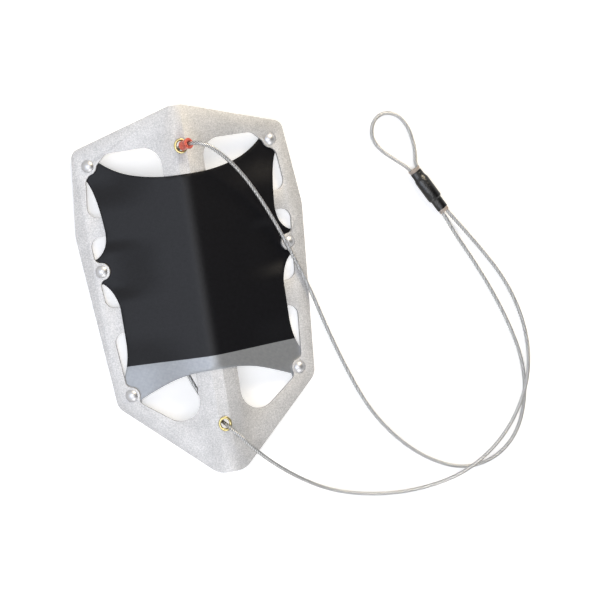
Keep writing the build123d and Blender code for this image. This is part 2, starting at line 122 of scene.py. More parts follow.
def finish_piece(piece, material, slot, *replaced):
    """Gives a finished piece its material and puts it in its CAD node's place."""
    piece.data.materials.clear()
    piece.data.materials.append(material)
    if replaced:
        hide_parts(*replaced)
    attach(piece, "root")


# %% [markdown]
# ## Tumbled aluminium
#
# The plate is laser-cut from aluminium sheet, folded, and then tumbled with
# abrasive stones, which takes the sharp edges off and leaves a fine satin
# speckle. To the eye that is a bright, soft metal with tiny light and dark
# grains and a few faint rubbed patches. The material is a metal with a fairly
# high roughness, and two noises: a fine one for the grain and a wide one for
# the patches. The real grain is about 0.3 mm, too fine to show at this
# distance, so it is drawn near 1 mm.

# %% Material helpers
def new_material(name):
    """An empty material with a principled shader, ready for its nodes."""
    material = bpy.data.materials.new(name)
    material.use_nodes = True
    tree = material.node_tree
    tree.nodes.clear()
    output = tree.nodes.new("ShaderNodeOutputMaterial")
    shader = tree.nodes.new("ShaderNodeBsdfPrincipled")
    tree.links.new(shader.outputs["BSDF"], output.inputs["Surface"])
    return material, tree, shader


def set_evenly(shader, **values):
    """Sets the numbers and colours that are the same all over a surface."""
    for name, value in values.items():
        shader.inputs[name.replace("_", " ")].default_value = value


def per_metre(size_mm):
    """Scale of a noise whose features are this many millimetres apart."""
    return 1.0 / (size_mm * mm)


def noise(tree, size_mm, detail, **more):
    """Socket with a share from 0 to 1 that wanders through the object's own space."""
    place = add_node(tree, "ShaderNodeTexCoord").outputs["Object"]
    cloud = add_node(tree, "ShaderNodeTexNoise", Vector=place, Scale=per_metre(size_mm), Detail=detail,
                     **more)
    return cloud.outputs["Fac"]


def blended(tree, share, low, high):
    """Socket with a colour between low and high, each of them a hex value or a socket."""
    low, high = [linear(end) if isinstance(end, str) else end for end in (low, high)]
    mix = add_node(tree, "ShaderNodeMix", {"data_type": "RGBA"}, _0=share, _6=low, _7=high)
    return mix.outputs[2]


def mottled(name, pattern_mm, detail, dark, light):
    """A material whose colour wanders between two tones, and its shader."""
    material, tree, shader = new_material(name)
    tone = blended(tree, noise(tree, pattern_mm, detail), dark, light)
    tree.links.new(tone, shader.inputs["Base Color"])
    return material, shader


# %% Tumbled aluminium material
grain_mm = 1.0
patch_mm = 22.0
tumbled_aluminium, tree, shader = new_material("tumbled aluminium sheet")
grain = noise(tree, grain_mm, 3.0, Roughness=0.7)
patches = noise(tree, patch_mm, 2.0)
grain_tone = add_node(tree, "ShaderNodeMapRange", Value=grain, From_Min=0.34, From_Max=0.66)
sheet_tone = blended(tree, grain_tone.outputs["Result"], "#AEAEAF", "#D8D7D7")
patch_tone = add_node(tree, "ShaderNodeMapRange", Value=patches, From_Min=0.35, From_Max=0.65, To_Min=0.94,
                      To_Max=1.03)
toned = add_node(tree, "ShaderNodeVectorMath", {"operation": "SCALE"}, _0=sheet_tone,
                 Scale=patch_tone.outputs["Result"])
tree.links.new(toned.outputs["Vector"], shader.inputs["Base Color"])
satin = add_node(tree, "ShaderNodeMapRange", Value=grain, From_Min=0.3, From_Max=0.7, To_Min=0.60,
                 To_Max=0.74)
tree.links.new(satin.outputs["Result"], shader.inputs["Roughness"])
dents = add_node(tree, "ShaderNodeBump", Strength=0.35, Distance=0.2 * mm, Height=grain)
tree.links.new(dents.outputs["Normal"], shader.inputs["Normal"])
set_evenly(shader, Metallic=1.0)
print("grain per metre:", round(per_metre(grain_mm)))

# %% [markdown]
# ## The folded plate
#
# The solid of the plate already has the right outline, windows and fold, but its
# edges are perfectly sharp. Tumbling rounds them to about a third of a
# millimetre, and that thin bright line around every window is what makes sheet
# metal look real. A copy of the solid is merged into one clean mesh, its flat
# triangles are joined, and a bevel modifier rounds the sharp edges.

# %% Plate with softened edges
weld_distance = 0.01 * mm
flat_angle = radians(0.5)
sharp_angle = radians(40)
smooth_angle = radians(30)


def softened_copy(node_name, name, edge_mm):
    """A copy of a solid's mesh with its sharp edges rounded."""
    piece = nodes[node_name].copy()
    piece.data = nodes[node_name].data.copy()
    piece.parent = None
    piece.matrix_world = Matrix.Identity(4)
    piece.name = name
    bpy.context.collection.objects.link(piece)
    pick(piece)
    bpy.ops.object.mode_set(mode="EDIT")
    bpy.ops.mesh.select_all(action="SELECT")
    bpy.ops.mesh.remove_doubles(threshold=weld_distance)
    bpy.ops.mesh.dissolve_limited(angle_limit=flat_angle)
    bpy.ops.object.mode_set(mode="OBJECT")
    bevel = piece.modifiers.new("tumbled edge", "BEVEL")
    bevel.width = edge_mm * mm
    bevel.segments = 2
    bevel.limit_method = "ANGLE"
    bevel.angle_limit = sharp_angle
    bpy.ops.object.modifier_apply(modifier="tumbled edge")
    bpy.ops.object.shade_smooth_by_angle(angle=smooth_angle)
    return piece


plate = softened_copy("fluke_plate", "tumbled_plate", edge_mm=0.3)
finish_piece(plate, tumbled_aluminium, "plate", "fluke_plate")
print("plate faces:", len(plate.data.polygons))

# %% [markdown]
# ## Places on the folded plate
#
# The fabric, the rivets and the eyelets all sit on the fold or on a wing. It is
# easiest to think of the plate as it was before folding: so far out from the
# fold line, and so far down from its top end. These functions turn such a flat
# place into a point on the folded plate, with a height off its upper face.

# %% Flat places to points in space
wing_fall = radians(18.0)
ridge_slope = radians(1.5173)
ridge_top = Vector((0, 146.699, 34.275))
up_spine = Vector((0, cos(ridge_slope), sin(ridge_slope)))
off_spine = Vector((0, -sin(ridge_slope), cos(ridge_slope)))
fold_radius = 18.0
flat_start = fold_radius * tan(wing_fall)
fold_centre = -fold_radius / cos(wing_fall)
crest = fold_centre + fold_radius


def outward(side):
    """Direction down a wing, square to the fold: side is -1 for the left and 1 for the right."""
    return Vector((side, 0, 0)) * cos(wing_fall) - off_spine * sin(wing_fall)


def wing_normal(side):
    """Direction straight up off a wing's face."""
    return Vector((side, 0, 0)) * sin(wing_fall) + off_spine * cos(wing_fall)


def on_wing(side, out, down, lift=0.0):
    """Point on a wing in mm."""
    return ridge_top + outward(side) * out - up_spine * down + wing_normal(side) * lift


def on_plate(across, down, lift):
    """Point at an unfolded place in mm: it follows the round fold near the middle."""
    side = 1 if across >= 0 else -1
    half_arc = (fold_radius + lift) * wing_fall
    if abs(across) >= half_arc:
        return on_wing(side, flat_start + abs(across) - half_arc, down, lift)
    turned = across / (fold_radius + lift)
    reach = fold_radius + lift
    middle = ridge_top - up_spine * down
    return middle + Vector((reach * sin(turned), 0, 0)) + off_spine * (fold_centre + reach * cos(turned))


print("top of the fold in mm:", [round(value, 1) for value in on_plate(0, 0, 0)])

# %% [markdown]
# ## Routes of the wire rope
#
# The bridle is one wire rope, seen here in four stretches: from the red stop
# sleeve to the swaged joint, from the lower eyelet to the joint, behind the
# plate from one eyelet to the other, and round the clip-in eye. Each stretch is
# a smooth NURBS spline through a few control points: it rises out of its
# eyelet, arches down to the ground, lies there in a loose loop, and passes over
# the other leg where they cross. An order of 3 gives a gentle curve that stays
# close to its points.

# %% Control points in millimetres
rope_diameter = 3.2
lying = rope_diameter / 2
crossing = 8.2
joint_middle = Vector((197.8, 50.0, 4.5))
joint_heading = radians(118.4)
joint_axis = Vector((cos(joint_heading), sin(joint_heading), 0))
joint_across = Vector((sin(joint_heading), -cos(joint_heading), 0))
strand_offset = 1.7
ferrule_end = 6.0
tube_end = 21.5
stop_foot = Vector((0.7, 114.437, 36.170))
stop_axis = Vector((0.58866, 0.12512, 0.79864))


def in_joint(along, offset=0.0):
    """Place in the swaged joint, along its axis toward the eye and across it."""
    return joint_middle + joint_axis * along + joint_across * offset


rope_routes = {
    "upper_leg": [
        stop_foot, (10.12, 116.44, 48.95), (23, 109.5, 51), (38, 94, 41), (51, 75, 29), (66, 45, 16.5),
        (78, 13, 8.8), (87.5, -14, 4.4), (97, -50, lying), (109, -89, lying), (122, -122, lying),
        (142, -150.5, lying), (166, -171.5, lying), (194, -183.5, lying), (222, -178.5, lying),
        (243, -160, lying), (254, -131, lying), (255.5, -101, lying), (249, -71, lying), (238, -39, lying),
        (224, -7.5, lying), (213.5, 12.5, 3.0), in_joint(-tube_end, -strand_offset),
        in_joint(-ferrule_end, -strand_offset),
    ],
    "lower_leg": [
        (0, -107.56, 25.61), (4.82, -112.62, 35.37), (17, -128, 34), (32, -145, 24.5), (54, -164.5, 10.5),
        (78, -180, 2.4), (104, -188.5, lying), (133, -193, lying), (162, -192.3, lying),
        (187, -186, crossing), (211, -174.5, crossing), (233, -156, crossing), (249.5, -132, crossing),
        (258.5, -108, crossing), (262.5, -83, lying), (258.5, -56, lying), (248.5, -28.5, lying),
        (232.5, -1.5, lying), (220, 16.8, 3.0), in_joint(-tube_end, strand_offset),
        in_joint(-ferrule_end, strand_offset),
    ],
    "rear_span": [
        stop_foot, (-1.3, 114.01, 33.45), (-1.1, 113.74, 26.87), (-5, 106, 17), (-14, 84, 11), (-24, 45, 8.5),
        (-29, -1, 8.5), (-28, -46, 11), (-18.5, -76.5, 14.5), (-10, -92.5, 17), (-3.81, -103.56, 17.89),
        (0, -107.56, 25.61),
    ],
    "eye_loop": [
        in_joint(ferrule_end, -strand_offset), in_joint(tube_end, -strand_offset), (171, 81, 3.2),
        (161.5, 90.5, lying), (157.3, 101.5, lying), (161, 113.5, lying), (170.5, 118.6, lying),
        (181.3, 115.2, lying), (188.3, 105.5, lying), (191.2, 93.5, lying), (191.5, 82, 3.2),
        in_joint(tube_end, strand_offset), in_joint(ferrule_end, strand_offset),
    ],
}


def spline_points(name):
    """Points in metres along the smooth spline of one stretch."""
    curve = bpy.data.curves.new(name + "_route", "CURVE")
    curve.dimensions = "3D"
    curve.resolution_u = 24
    spline = curve.splines.new("NURBS")
    spline.points.add(len(rope_routes[name]) - 1)
    for point, place in zip(spline.points, rope_routes[name]):
        point.co = (*[value * mm for value in place], 1.0)
    spline.order_u = 3
    spline.use_endpoint_u = True
    holder = bpy.data.objects.new(name + "_route", curve)
    line = bpy.data.meshes.new_from_object(holder)
    points = [vertex.co.copy() for vertex in line.vertices]
    bpy.data.objects.remove(holder)
    bpy.data.curves.remove(curve)
    bpy.data.meshes.remove(line)
    return points


rope_lines = {name: spline_points(name) for name in rope_routes}
for name, line in rope_lines.items():
    length = sum((after - before).length for before, after in zip(line, line[1:]))
    print(name, "points", len(line), "length in mm", round(length / mm, 1))

# %% [markdown]
# ## Zinc-coated wire rope
#
# The rope is laid up from six strands round a core, and each strand is twisted
# from fine wires. Each strand is a thin tube that winds round the spline once
# every 15 mm, which is what gives a rope its slanting pattern of light and dark.
# The strands are drawn a little fuller than a third of the rope's width, so that no gap opens between them.
# The grooves between strands see little light, so painted shade darkens the colour on the sides of a strand
# that face its neighbours. The wires inside a strand are only 0.2 mm thick, so they are left to a bump that
# follows the strand's own UV map: its X runs round the strand, and its Y holds the length along the rope in
# metres. The same wave also paints the colour darker in the valleys between the wires, as painted shade.

# %% Wire rope material
wires_round = 9.0
wire_lay_mm = 9.0
wire_steel, tree, shader = new_material("zinc coated steel wire")
strand_map = add_node(tree, "ShaderNodeUVMap", {"uv_map": "strand"}).outputs["UV"]
wire_axes = add_node(tree, "ShaderNodeSeparateXYZ", Vector=strand_map)
wire_along = add_node(tree, "ShaderNodeMath", {"operation": "DIVIDE"}, _0=wire_axes.outputs["Y"],
                      _1=wire_lay_mm * mm)
wire_turn = add_node(tree, "ShaderNodeMath", {"operation": "MULTIPLY_ADD"}, _0=wire_axes.outputs["X"],
                     _1=wires_round, _2=wire_along.outputs[0])
wire_phase = add_node(tree, "ShaderNodeMath", {"operation": "MULTIPLY"}, _0=wire_turn.outputs[0],
                      _1=2 * pi)
wire_wave = add_node(tree, "ShaderNodeMath", {"operation": "SINE"}, _0=wire_phase.outputs[0])
wire_height = add_node(tree, "ShaderNodeMapRange", Value=wire_wave.outputs[0], From_Min=-1.0,
                       From_Max=1.0)
# Painted shade: the colour is darker in the valleys between wires, on the same wave as the bump.
wire_tone_with_painted_shade = blended(tree, wire_height.outputs["Result"], "#A8A8A8", "#E2E2E2")
# Painted shade: the colour is darkened on the sides of each strand that face its neighbours, where the
# grooves lie in shade.
round_strand = add_node(tree, "ShaderNodeMath", {"operation": "MULTIPLY"}, _0=wire_axes.outputs["X"],
                        _1=2 * pi)
strand_face = add_node(tree, "ShaderNodeMath", {"operation": "COSINE"}, _0=round_strand.outputs[0])
unshaded_share = add_node(tree, "ShaderNodeMapRange", {"interpolation_type": "SMOOTHSTEP"},
                      Value=strand_face.outputs[0], From_Min=0.45, From_Max=0.92)
rope_tone_with_painted_shade = blended(tree, unshaded_share.outputs["Result"], "#3A3A39", wire_tone_with_painted_shade)
tree.links.new(rope_tone_with_painted_shade, shader.inputs["Base Color"])
wire_bump = add_node(tree, "ShaderNodeBump", Strength=0.6, Distance=0.08 * mm,
                     Height=wire_height.outputs["Result"])
tree.links.new(wire_bump.outputs["Normal"], shader.inputs["Normal"])
set_evenly(shader, Metallic=1.0, Roughness=0.34)

# %% Strands wound round a line
strand_lay_mm = 15.0
strand_count = 6
strand_sides = 8
radii_across = 5.0  # strand radii in the rope's width: 6 on a real rope


def line_frames(line):
    """Direction and a steady side direction at each point of a line, without twist."""
    ways = []
    for place in range(len(line)):
        before = line[max(place - 1, 0)]
        after = line[min(place + 1, len(line) - 1)]
        ways.append((after - before).normalized())
    side = ways[0].orthogonal().normalized()
    sides = []
    for way in ways:
        side = (side - way * side.dot(way)).normalized()
        sides.append(side.copy())
    return ways, sides


def laid_rope(name, line, diameter_mm):
    """A rope as one mesh that follows a line: its strands, and last its core.

    Each corner of a face gets a mark for the UV map: its corner round the strand and its step.
    """
    strand_radius = diameter_mm / radii_across * mm
    winding = diameter_mm / 2 * mm - strand_radius
    ways, sides = line_frames(line)
    run = [0.0]
    for before, after in zip(line, line[1:]):
        run.append(run[-1] + (after - before).length)
    vertices, faces, marks = [], [], []
    for strand in range(strand_count + 1):
        first = len(vertices)
        for point, way, side, far in zip(line, ways, sides, run):
            cross = way.cross(side)
            angle = 2 * pi * (far / (strand_lay_mm * mm) + strand / strand_count)
            out = side * cos(angle) + cross * sin(angle)
            reach = 0.0 if strand == strand_count else winding
            centre = point + out * reach
            lay_way = (way + way.cross(out) * (2 * pi * reach / (strand_lay_mm * mm))).normalized()
            lift = lay_way.cross(out).normalized()
            for corner in range(strand_sides):
                around = 2 * pi * corner / strand_sides
                vertices.append(centre + (out * cos(around) + lift * sin(around)) * strand_radius)
        for step in range(len(line) - 1):
            for corner in range(strand_sides):
                following = (corner + 1) % strand_sides
                row, next_row = first + step * strand_sides, first + (step + 1) * strand_sides
                faces.append((row + corner, row + following, next_row + following, next_row + corner))
                marks.append(((corner, step), (corner + 1, step), (corner + 1, step + 1), (corner, step + 1)))
        last = first + (len(line) - 1) * strand_sides
        faces.append(tuple(first + corner for corner in reversed(range(strand_sides))))
        faces.append(tuple(last + corner for corner in range(strand_sides)))
        marks += [((0, 0),) * strand_sides] * 2
    mesh = bpy.data.meshes.new(name)
    mesh.from_pydata(vertices, [], faces)
    layer = mesh.uv_layers.new(name="strand")
    flat_marks = [mark for face in marks for mark in face]
    for loop, (corner, step) in zip(layer.data, flat_marks):
        loop.uv = (corner / strand_sides, run[step])
    for polygon in mesh.polygons:
        polygon.use_smooth = len(polygon.vertices) == 4
    piece = bpy.data.objects.new(name, mesh)
    bpy.context.collection.objects.link(piece)
    return piece


# %% The four stretches of rope
ropes = {}
for name, line in rope_lines.items():
    ropes[name] = laid_rope(name + "_rope", line, rope_diameter)
    finish_piece(ropes[name], wire_steel, "wire_rope", name)
    print(name, "triangles", sum(len(face.vertices) - 2 for face in ropes[name].data.polygons))

# %% [markdown]
# ## Pieces turned from rings
#
# Rivets, eyelets, the stop sleeve and the tubes of the joint are all round or
# oval, so one way of working makes them all. A circle is added, and its edge is
# extruded again and again to a new height and width, like drawing the profile
# of a vase ring by ring. For a hollow piece the rings go up outside, down
# inside, and back to the first one, where the doubled points are merged.

# %% Ring helpers
ring_weld = 0.002 * mm
ring_smooth = radians(35)


def ringed(name, rings, sides=32, hollow=False):
    """A piece through rings of (height, half width, half depth) in mm, standing along Z."""
    height, width, depth = rings[0]
    bpy.ops.object.select_all(action="DESELECT")
    bpy.ops.mesh.primitive_circle_add(vertices=sides, radius=mm, fill_type="NOTHING" if hollow else "NGON",
                                      location=(0, 0, height * mm))
    piece = bpy.context.object
    piece.name = name
    pick(piece)
    bpy.ops.object.transform_apply(location=True)
    bpy.ops.object.mode_set(mode="EDIT")
    bpy.ops.mesh.select_all(action="SELECT")
    bpy.ops.transform.resize(value=(width, depth, 1), center_override=(0, 0, height * mm))
    for next_height, next_width, next_depth in rings[1:]:
        rise = (next_height - height) * mm
        bpy.ops.mesh.extrude_region_move(TRANSFORM_OT_translate={"value": (0, 0, rise)})
        bpy.ops.transform.resize(value=(next_width / width, next_depth / depth, 1),
                                 center_override=(0, 0, next_height * mm))
        height, width, depth = next_height, next_width, next_depth
    bpy.ops.mesh.select_all(action="SELECT")
    bpy.ops.mesh.remove_doubles(threshold=ring_weld)
    bpy.ops.mesh.normals_make_consistent(inside=False)
    bpy.ops.object.mode_set(mode="OBJECT")
    return piece


def settle(piece, centre, side, axis):
    """Puts a piece made along Z at a point in mm, with its Z along axis, and applies its place."""
    turned = Matrix((side, axis.cross(side), axis)).transposed().to_4x4()
    piece.matrix_world = Matrix.Translation(centre * mm) @ turned
    pick(piece)
    bpy.ops.object.transform_apply(location=True, rotation=True, scale=True)
    bpy.ops.object.shade_smooth_by_angle(angle=ring_smooth)
    return piece


# %% [markdown]
# ## Rivets
#
# Closed-end rivets with a low dome, set from the front, hold the panel. The dome
# comes smooth from the die, so it shows a small highlight of each lamp.
# A rivet is modelled once, from its upset end up to the middle of the dome, and
# then copied with its own mesh to the six places.

# %% Burnished rivet material and rivets
burnished, tree, shader = new_material("burnished aluminium")
rubbed = add_node(tree, "ShaderNodeMapRange", Value=noise(tree, 1.5, 2.0), To_Min=0.36, To_Max=0.48)
tree.links.new(rubbed.outputs["Result"], shader.inputs["Roughness"])
set_evenly(shader, Base_Color=linear("#BEBEC0"), Metallic=1.0)

# Out from the fold and down from its top end, in mm
rivet_places = {"upper": (77.69, 36.5), "middle": (80.47, 120.55), "lower": (72.62, 222.6)}
head_radius = 5.0
head_height = 2.6
dome_radius = (head_radius ** 2 + head_height ** 2) / (2 * head_height)
dome_steps = 9
edge_bulge = 0.25
# Upset end, shank, and the head's underside and edge
rivet_rings = [(-5.15, 3.0), (-5.0, 3.35), (-4.5, 3.5), (-4.05, 3.45), (-3.95, 3.3), (-3.95, 2.4), (0.0, 2.4),
               (0.0, 4.75), (0.12, 4.95), (0.35, 5.0)]
for step in range(1, dome_steps):
    width = head_radius * cos(step * pi / 2 / dome_steps)
    dome_height = head_height - dome_radius + sqrt(dome_radius ** 2 - width ** 2)
    rivet_rings.append((dome_height + edge_bulge * (1 - step / dome_steps), width))
rivet_rings.append((head_height, 0.35))
rivet_model = ringed("rivet_model", [(height, width, width) for height, width in rivet_rings], sides=40)
for side, side_name in ((-1, "left"), (1, "right")):
    for place_name, (out, down) in rivet_places.items():
        rivet = rivet_model.copy()
        rivet.data = rivet_model.data.copy()
        rivet.name = f"dome_rivet_{place_name}_{side_name}"
        bpy.context.collection.objects.link(rivet)
        settle(rivet, on_wing(side, out, down), outward(side), wing_normal(side))
        finish_piece(rivet, burnished, "rivet_metal", f"rivet_{place_name}_{side_name}")
bpy.data.objects.remove(rivet_model)
print("rivet rings:", len(rivet_rings))

# %% [markdown]
# ## Brass eyelets
#
# Each hole in the fold is lined with a brass eyelet, so that the rope doesn't saw
# on the plate's edge. The eyelet is slightly oval, longer along the fold. Its
# rolled rim is drawn ring by ring, and then every point of it drops by as much
# as the fold drops below its crest, which bends the rim into a saddle over the
# ridge.

# %% Rolled brass material
brass, shader = mottled("rolled brass", 2.5, 3.0, "#A39258", "#CFC596")
set_evenly(shader, Metallic=1.0, Roughness=0.24)


# %% Eyelets over the fold
def fold_drop(across):
    """How far the plate's face lies below the crest of the fold, in mm."""
    if abs(across) < fold_radius * sin(wing_fall):
        return fold_radius - sqrt(fold_radius ** 2 - across ** 2)
    return abs(across) * tan(wing_fall) + crest


# Lip behind the plate, barrel, rim on the face, and back down the bore: height, growth over the bore
eyelet_rings = [(-2.6, 0.0), (-2.75, 0.3), (-2.75, 1.0), (-2.6, 1.35), (-2.3, 1.4), (-2.06, 1.2),
                (-2.05, 0.5), (0.05, 0.5), (0.06, 1.9), (0.25, 2.15), (0.55, 2.2), (0.85, 2.0), (1.04, 1.6),
                (1.05, 1.2), (0.95, 0.7), (0.7, 0.3), (0.3, 0.08), (-0.3, 0.0), (-1.2, 0.0), (-2.6, 0.0)]
eyelet_bore = (3.2, 3.8)
eyelet_places = {"upper_eyelet": 31.9, "lower_eyelet": 254.4}
for node_name, down in eyelet_places.items():
    rings = [(height, eyelet_bore[0] + growth, eyelet_bore[1] + growth) for height, growth in eyelet_rings]
    eyelet = ringed("rolled_" + node_name, rings, sides=48, hollow=True)
    for vertex in eyelet.data.vertices:
        vertex.co.z -= fold_drop(vertex.co.x / mm) * mm
    seat = ridge_top - up_spine * down + off_spine * crest
    settle(eyelet, seat, Vector((1, 0, 0)), off_spine)
    finish_piece(eyelet, brass, "eyelet_brass", node_name)
print("eyelet rings:", len(eyelet_rings))

# %% [markdown]
# ## Red stop sleeve
#
# A short anodised aluminium sleeve is pressed onto the rope above the upper
# eyelet, so that the rope can't pull through. Anodising leaves a clear, deep
# colour over bare metal, so the body glows orange-red, and a thin glossy coat on
# top gives the pale highlight. The sleeve has a flared outer end and two shallow
# grooves where the tool gripped it.

# %% Anodised sleeve
anodised, shader = mottled("red anodised aluminium", 1.2, 3.0, "#C8321E", "#F08068")
set_evenly(shader, Metallic=0.7, Roughness=0.26, Coat_Weight=0.7, Coat_Roughness=0.15)

# Foot, body with two grooves, flare, and back down the bore
sleeve_rings = [(0.0, 1.75), (0.0, 3.4), (0.12, 3.67), (0.4, 3.85), (1.6, 3.85), (1.85, 3.70), (2.3, 3.68),
                (2.55, 3.83), (3.7, 3.83), (3.95, 3.70), (4.4, 3.68), (4.65, 3.84), (5.7, 3.85), (6.5, 3.92),
                (7.6, 4.27), (8.1, 4.34), (8.6, 4.35), (8.82, 4.2), (8.9, 3.95), (8.9, 2.6), (8.7, 1.9),
                (8.4, 1.75), (0.0, 1.75)]
round_rings = [(height, width, width) for height, width in sleeve_rings]
sleeve = ringed("pressed_stop_sleeve", round_rings, sides=40, hollow=True)
settle(sleeve, stop_foot, stop_axis.cross(Vector((0, 1, 0))).normalized(), stop_axis)
finish_piece(sleeve, anodised, "stop_red", "stop_sleeve")
print("sleeve length in mm:", max(height for height, width in sleeve_rings))

# %% [markdown]
# ## Swaged joint
#
# The two ends of the bridle and the eye meet in a swaged ferrule. A milky tube
# keeps it from scratching, and a black heat-shrink tube is drawn tight over
# that, so the ferrule shows as a bulge that ends in a clear step. The tubes are
# made with the same rings, only oval, because they hug two strands that lie
# side by side.

# %% Heat-shrink and inner tube
shrink_black, tree, shader = new_material("heat-shrunk polyolefin")
pucker_bump = add_node(tree, "ShaderNodeBump", Strength=0.6, Distance=0.5 * mm, Height=noise(tree, 2.2, 2.0))
tree.links.new(pucker_bump.outputs["Normal"], shader.inputs["Normal"])
set_evenly(shader, Base_Color=linear("#111112"), Roughness=0.22)

milky, shader = mottled("milky polyethylene tube", 2.0, 2.0, "#C0B3AB", "#E0D7D0")
set_evenly(shader, Roughness=0.30, Transmission_Weight=0.5, Subsurface_Weight=0.2,
           Subsurface_Radius=(2 * mm, 2 * mm, 2 * mm))

# %% Tubes of the joint
neck_at_legs = (3.9, 2.15)
neck_at_eye = (4.15, 2.2)
belly = (5.1, 3.65)
mouth = (5.1, 2.6)
clear_wall, shrink_wall = 0.4, 0.45
# Along the joint's axis, and half the width and depth of the bore there
tube_run = [(-18.75, neck_at_legs), (-9.6, neck_at_legs), (-8.9, (4.3, 2.7)), (-8.2, (4.95, 3.5)),
            (-7.6, belly), (10.4, belly), (11.2, (4.9, 3.4)), (12.6, (4.4, 2.6)), (14.0, neck_at_eye),
            (18.75, neck_at_eye)]
clear_run = [(-21.75, neck_at_legs), *tube_run, (21.75, mouth)]


def tube_rings(run, gap, wall):
    """Rings of an oval tube: out along the outside, and back along the inside."""
    softening = 0.15
    outside = [(along, width + gap + wall, depth + gap + wall) for along, (width, depth) in run]
    start, width, depth = outside[0]
    end, end_width, end_depth = outside[-1]
    outside[0] = (start + softening, width, depth)
    outside[-1] = (end - softening, end_width, end_depth)
    outside.insert(0, (start, width - softening, depth - softening))
    outside.append((end, end_width - softening, end_depth - softening))
    inside = [(along, width + gap, depth + gap) for along, (width, depth) in reversed(run)]
    return [*outside, *inside, outside[0]]


clear_tube = ringed("inner_tube", tube_rings(clear_run, 0.0, clear_wall), sides=48, hollow=True)
settle(clear_tube, joint_middle, joint_across, joint_axis)
finish_piece(clear_tube, milky, "clear_tube", "clear_tube")
shrink_tube = ringed("heat_shrink", tube_rings(tube_run, clear_wall, shrink_wall), sides=48, hollow=True)
settle(shrink_tube, joint_middle, joint_across, joint_axis)
finish_piece(shrink_tube, shrink_black, "shrink_tube", "shrink_tube")

# %% Hidden metal inside the joint and behind the plate
pressed, shader = mottled("pressed aluminium", 1.0, 3.0, "#A8A8AA", "#C6C6C9")
set_evenly(shader, Metallic=1.0, Roughness=0.4)
for node_name, node in nodes.items():
    if node_name.startswith("washer_") or node_name == "eye_ferrule":
        node.data.materials.clear()
        node.data.materials.append(pressed)

inner_strands = []
ferrule_steps = 12
for offset in (-strand_offset, strand_offset):
    line = [in_joint(ferrule_end * (2 * step / ferrule_steps - 1), offset) * mm
            for step in range(ferrule_steps + 1)]
    inner_strands.append(laid_rope(f"ferrule_strand_{len(inner_strands) + 1}", line, rope_diameter))
    finish_piece(inner_strands[-1], wire_steel, "wire_rope", "ferrule_strands")

# %% [markdown]
# ## Fabric panel
#
# The panel is a rubber-coated fabric, cut with hollow sides, stretched over the
# fold and the braces, and riveted behind the rims. It is under tension, so it
# has no loose folds: it lies flat on the metal and dives under the rim beside
# each rivet. A cloth simulation would only find this shape again, so the panel
# is built straight from its flat cut. Its outline is drawn flat, filled with a
# fine net of triangles, and each point is then lifted to its place over or
# under the plate.

# %% Flat cut of the panel
cloth_thickness = 1.0
cloth_lift = 0.2
tab_radius = 10.4
hollow_steps, tab_steps = 12, 16


def tangent_arc(start, heading, end):
    """Points on the arc that leaves start along a heading and meets end, and its heading there."""
    chord = (end[0] - start[0], end[1] - start[1])
    bend = 2 * (atan2(chord[1], chord[0]) - heading)
    radius = hypot(*chord) / (2 * sin(bend / 2))
    points = []
    for step in range(1, hollow_steps + 1):
        part = bend * step / hollow_steps
        reach, way = 2 * radius * sin(part / 2), heading + part / 2
        points.append((start[0] + reach * cos(way), start[1] + reach * sin(way)))
    return points, heading + bend


def bowed(start, middle, end):
    """Points on a bow through three places, after its start."""
    pull = [2 * middle[axis] - (start[axis] + end[axis]) / 2 for axis in (0, 1)]
    points = []
    for step in range(1, hollow_steps + 1):
        share = step / hollow_steps
        weights = ((1 - share) ** 2, 2 * share * (1 - share), share ** 2)
        points.append(tuple(weights[0] * start[axis] + weights[1] * pull[axis] + weights[2] * end[axis]
                            for axis in (0, 1)))
    return points


def tab(place_name, first_degrees, last_degrees):
    """Points on the round tab behind a rivet."""
    out, down = rivet_places[place_name]
    points = []
    for step in range(tab_steps + 1):
        angle = radians(first_degrees + (last_degrees - first_degrees) * step / tab_steps)
        points.append((out + tab_radius * cos(angle), down + tab_radius * sin(angle)))
    return points


top_start, top_mid, top_end = (flat_start, 54.0), (42.0, 49.0), (67.09, 35.4)
bottom_start, bottom_mid, bottom_end = (flat_start, 210.5), (42.0, 217.3), (64.32, 226.8)
under_upper_tab, under_middle_tab = (80.39, 47.3), (80.27, 130.75)
waists = [(71.68, 90.0), (69.56, 151.0), (69.5, 182.0)]
top_arc, heading = tangent_arc(top_start, 0.0, top_mid)
top_tail, heading = tangent_arc(top_mid, heading, top_end)
bottom_arc, heading = tangent_arc(bottom_start, 0.0, bottom_mid)
bottom_tail, heading = tangent_arc(bottom_mid, heading, bottom_end)
right_edge = [
    top_start, *top_arc, *top_tail,
    *tab("upper", -175, 75), under_upper_tab, *bowed(under_upper_tab, (74.79, 64.0), waists[0]),
    *bowed(waists[0], (74.37, 102.55), (82.27, 110.45)),
    *tab("middle", -78, 88), under_middle_tab, *bowed(under_middle_tab, (73.37, 139.05), waists[1]),
    *bowed(waists[1], (69.45, 166.0), waists[2]), *bowed(waists[2], (71.42, 196.0), (75.82, 207.6)),
    *tab("lower", -72, 138), bottom_end, *reversed(bottom_tail[:-1]), *reversed(bottom_arc), bottom_start,
]
half_arc = (fold_radius + cloth_lift + cloth_thickness) * wing_fall
right_edge = [(out - flat_start + half_arc, down) for out, down in right_edge]
outline = right_edge + [(-across, down) for across, down in reversed(right_edge)]
print("cut width in mm:", round(2 * max(across for across, down in outline), 1),
      "length:", round(max(down for across, down in outline) - min(down for across, down in outline), 1))

# %% Net of triangles inside the cut
net_step = 2.4
net_top, net_length, net_half_width = 26.0, 215.0, 92.0
edge_clearance = 0.6 * net_step


